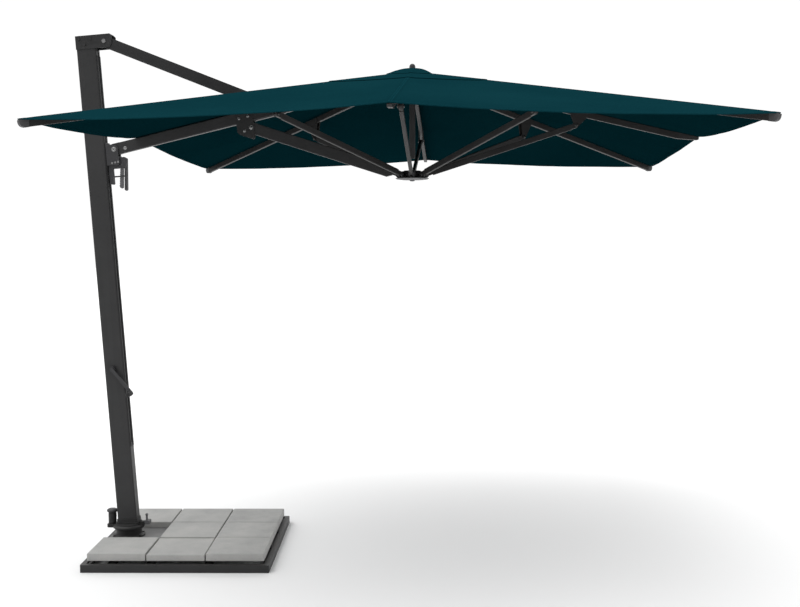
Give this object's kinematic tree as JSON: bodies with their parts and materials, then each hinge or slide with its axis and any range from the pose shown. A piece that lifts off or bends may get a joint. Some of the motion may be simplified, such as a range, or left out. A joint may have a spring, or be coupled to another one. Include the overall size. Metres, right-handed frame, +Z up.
{
  "type": "cantilever patio umbrella",
  "caption": "Cantilever patio umbrella with a square petrol-teal canopy on a leaning side mast, folding arm and slider, standing on a steel frame ballasted with concrete pavers.",
  "frame": {"origin": "the mast's swivel axis at floor level, on the underside of the base frame", "axes": "+X from the mast towards the canopy's centre, +Y across the base, +Z up, right-handed"},
  "size_m": [3.3339, 3.0192, 2.8133],
  "materials": {
    "anthracite_metal": "extruded aluminium, satin powder coat",
    "base_steel": "steel, powder coat",
    "dark_plastic": "moulded, fine grain",
    "canopy_cloth": "woven polyester, petrol teal",
    "concrete": "cast concrete paver",
    "steel_plate": "painted plate",
    "cap_grey": "moulded"
  },
  "bodies": {
    "base": {"base_frame": "base_steel", "foot_plate": "steel_plate", "paver_1": "concrete", "paver_2": "concrete", "paver_3": "concrete", "paver_4": "concrete", "paver_5": "concrete", "paver_6": "concrete", "paver_7": "concrete", "paver_8": "concrete", "swivel_base": "base_steel"},
    "mast": {"swivel_disc": "base_steel", "lock_sleeve": "base_steel", "mast_foot": "base_steel", "mast_tube": "anthracite_metal", "top_bracket": "anthracite_metal"},
    "lock": {"lock_pin": "dark_plastic"},
    "brake": {"brake_lever": "cap_grey"},
    "crank": {"crank_arm": "anthracite_metal", "crank_grip": "dark_plastic"},
    "slider": {"slider_carriage": "dark_plastic", "slider_foot": "dark_plastic", "slider_handle": "dark_plastic"},
    "trigger": {"trigger": "dark_plastic"},
    "arm": {"arm_tube": "anthracite_metal", "arm_nose": "anthracite_metal", "strut_clevis": "anthracite_metal", "elbow_gusset": "anthracite_metal", "canopy_w": "canopy_cloth"},
    "upper_strut": {"strut_bar_near": "anthracite_metal", "strut_bar_far": "anthracite_metal", "strut_pin": "base_steel"},
    "crown": {"crown": "dark_plastic", "finial": "dark_plastic", "crown_tube": "anthracite_metal", "canopy_top": "canopy_cloth"},
    "heavy_strut": {"heavy_strut": "anthracite_metal"},
    "hub": {"hub": "dark_plastic", "hub_cap": "cap_grey"},
    "rib_e": {"rib_e": "anthracite_metal", "canopy_e": "canopy_cloth"},
    "strut_e": {"strut_e": "anthracite_metal"},
    "rib_ne": {"rib_ne": "anthracite_metal", "canopy_ne": "canopy_cloth"},
    "strut_ne": {"strut_ne": "anthracite_metal"},
    "rib_n": {"rib_n": "anthracite_metal", "canopy_n": "canopy_cloth"},
    "strut_n": {"strut_n": "anthracite_metal"},
    "rib_nw": {"rib_nw": "anthracite_metal", "canopy_nw": "canopy_cloth"},
    "strut_nw": {"strut_nw": "anthracite_metal"},
    "rib_sw": {"rib_sw": "anthracite_metal", "canopy_sw": "canopy_cloth"},
    "strut_sw": {"strut_sw": "anthracite_metal"},
    "rib_s": {"rib_s": "anthracite_metal", "canopy_s": "canopy_cloth"},
    "strut_s": {"strut_s": "anthracite_metal"},
    "rib_se": {"rib_se": "anthracite_metal", "canopy_se": "canopy_cloth"},
    "strut_se": {"strut_se": "anthracite_metal"}
  },
  "joints": [
    {"name": "mast_swivel", "type": "hinge", "parent": "base", "child": "mast", "pos_m": [0, 0, 0.12], "axis": [0, 0, 1], "continuous": true},
    {"name": "lock_lift", "type": "slide", "parent": "mast", "child": "lock", "axis": [0, 0, 1], "range_m": [0, 0.018]},
    {"name": "brake_tilt", "type": "hinge", "parent": "mast", "child": "brake", "pos_m": [0.08, 0, 0.134], "axis": [0, -1, 0], "range_deg": [0, 40]},
    {"name": "slider_travel", "type": "slide", "parent": "mast", "child": "slider", "axis": [0.0718, 0, -0.9974], "range_m": [0, 1.33476]},
    {"name": "crank_turn", "type": "hinge", "parent": "mast", "child": "crank", "pos_m": [-0.06405, 0, 0.99355], "axis": [0, -1, 0], "range_deg": [0, 3600.5]},
    {"name": "trigger_squeeze", "type": "hinge", "parent": "slider", "child": "trigger", "pos_m": [-0.0042, 0, 2.11059], "axis": [0, -1, 0], "range_deg": [0, 4], "stiffness_Nm_per_rad": 0.5},
    {"name": "arm_fold", "type": "hinge", "parent": "slider", "child": "arm", "pos_m": [-0.04329, 0, 2.194], "axis": [0, -1, 0], "range_deg": [-0.05, 75.55], "deforming": ["canopy_w"]},
    {"name": "strut_swing", "type": "hinge", "parent": "mast", "child": "upper_strut", "pos_m": [-0.085, 0, 2.773], "axis": [0, 1, 0], "range_deg": [-0.05, 59.6]},
    {"name": "crown_level", "type": "hinge", "parent": "arm", "child": "crown", "pos_m": [1.505, 0, 2.56], "axis": [0, 1, 0], "range_deg": [-0.05, 71.65], "deforming": ["canopy_top"]},
    {"name": "heavy_fold", "type": "hinge", "parent": "arm", "child": "heavy_strut", "pos_m": [0.71283, 0, 2.30566], "axis": [0, 1, 0], "range_deg": [-0.05, 143.25]},
    {"name": "hub_level", "type": "hinge", "parent": "heavy_strut", "child": "hub", "pos_m": [1.505, 0, 2.05132], "axis": [0, -1, 0], "range_deg": [-0.05, 71.65]},
    {"name": "rib_fold_e", "type": "hinge", "parent": "crown", "child": "rib_e", "pos_m": [1.655, 0, 2.56], "axis": [0, 1, 0], "range_deg": [-0.05, 71.65], "deforming": ["canopy_e"]},
    {"name": "strut_fold_e", "type": "hinge", "parent": "rib_e", "child": "strut_e", "pos_m": [2.44717, 0, 2.30566], "axis": [0, -1, 0], "range_deg": [-0.05, 143.25]},
    {"name": "rib_fold_ne", "type": "hinge", "parent": "crown", "child": "rib_ne", "pos_m": [1.63303, 0.05303, 2.56], "axis": [-0.7071, 0.7071, 0], "range_deg": [-0.05, 71.65], "deforming": ["canopy_ne"]},
    {"name": "strut_fold_ne", "type": "hinge", "parent": "rib_ne", "child": "strut_ne", "pos_m": [2.19318, 0.61318, 2.30566], "axis": [0.7071, -0.7071, 0], "range_deg": [-0.05, 143.25]},
    {"name": "rib_fold_n", "type": "hinge", "parent": "crown", "child": "rib_n", "pos_m": [1.58, 0.075, 2.56], "axis": [-1, 0, 0], "range_deg": [-0.05, 71.65], "deforming": ["canopy_n"]},
    {"name": "strut_fold_n", "type": "hinge", "parent": "rib_n", "child": "strut_n", "pos_m": [1.58, 0.86717, 2.30566], "axis": [1, 0, 0], "range_deg": [-0.05, 143.25]},
    {"name": "rib_fold_nw", "type": "hinge", "parent": "crown", "child": "rib_nw", "pos_m": [1.52697, 0.05303, 2.56], "axis": [-0.7071, -0.7071, 0], "range_deg": [-0.05, 71.65], "deforming": ["canopy_nw"]},
    {"name": "strut_fold_nw", "type": "hinge", "parent": "rib_nw", "child": "strut_nw", "pos_m": [0.96682, 0.61318, 2.30566], "axis": [0.7071, 0.7071, 0], "range_deg": [-0.05, 143.25]},
    {"name": "rib_fold_sw", "type": "hinge", "parent": "crown", "child": "rib_sw", "pos_m": [1.52697, -0.05303, 2.56], "axis": [0.7071, -0.7071, 0], "range_deg": [-0.05, 71.65], "deforming": ["canopy_sw"]},
    {"name": "strut_fold_sw", "type": "hinge", "parent": "rib_sw", "child": "strut_sw", "pos_m": [0.96682, -0.61318, 2.30566], "axis": [-0.7071, 0.7071, 0], "range_deg": [-0.05, 143.25]},
    {"name": "rib_fold_s", "type": "hinge", "parent": "crown", "child": "rib_s", "pos_m": [1.58, -0.075, 2.56], "axis": [1, 0, 0], "range_deg": [-0.05, 71.65], "deforming": ["canopy_s"]},
    {"name": "strut_fold_s", "type": "hinge", "parent": "rib_s", "child": "strut_s", "pos_m": [1.58, -0.86717, 2.30566], "axis": [-1, 0, 0], "range_deg": [-0.05, 143.25]},
    {"name": "rib_fold_se", "type": "hinge", "parent": "crown", "child": "rib_se", "pos_m": [1.63303, -0.05303, 2.56], "axis": [0.7071, 0.7071, 0], "range_deg": [-0.05, 71.65], "deforming": ["canopy_se"]},
    {"name": "strut_fold_se", "type": "hinge", "parent": "rib_se", "child": "strut_se", "pos_m": [2.19318, -0.61318, 2.30566], "axis": [-0.7071, -0.7071, 0], "range_deg": [-0.05, 143.25]}
  ],
  "couplings": [
    {"joint": "arm_fold", "follows": "slider_travel", "rad_per_m": 0.98724},
    {"joint": "strut_swing", "follows": "slider_travel", "rad_per_m": 0.77866},
    {"joint": "crown_level", "follows": "slider_travel", "rad_per_m": 0.93624},
    {"joint": "heavy_fold", "follows": "slider_travel", "rad_per_m": 1.8725},
    {"joint": "hub_level", "follows": "slider_travel", "rad_per_m": 0.93624},
    {"joint": "rib_fold_e", "follows": "slider_travel", "rad_per_m": 0.93624},
    {"joint": "strut_fold_e", "follows": "slider_travel", "rad_per_m": 1.8725},
    {"joint": "rib_fold_ne", "follows": "slider_travel", "rad_per_m": 0.93624},
    {"joint": "strut_fold_ne", "follows": "slider_travel", "rad_per_m": 1.8725},
    {"joint": "rib_fold_n", "follows": "slider_travel", "rad_per_m": 0.93624},
    {"joint": "strut_fold_n", "follows": "slider_travel", "rad_per_m": 1.8725},
    {"joint": "rib_fold_nw", "follows": "slider_travel", "rad_per_m": 0.93624},
    {"joint": "strut_fold_nw", "follows": "slider_travel", "rad_per_m": 1.8725},
    {"joint": "rib_fold_sw", "follows": "slider_travel", "rad_per_m": 0.93624},
    {"joint": "strut_fold_sw", "follows": "slider_travel", "rad_per_m": 1.8725},
    {"joint": "rib_fold_s", "follows": "slider_travel", "rad_per_m": 0.93624},
    {"joint": "strut_fold_s", "follows": "slider_travel", "rad_per_m": 1.8725},
    {"joint": "rib_fold_se", "follows": "slider_travel", "rad_per_m": 0.93624},
    {"joint": "strut_fold_se", "follows": "slider_travel", "rad_per_m": 1.8725},
    {"joint": "crank_turn", "follows": "slider_travel", "rad_per_m": 47.074}
  ]
}
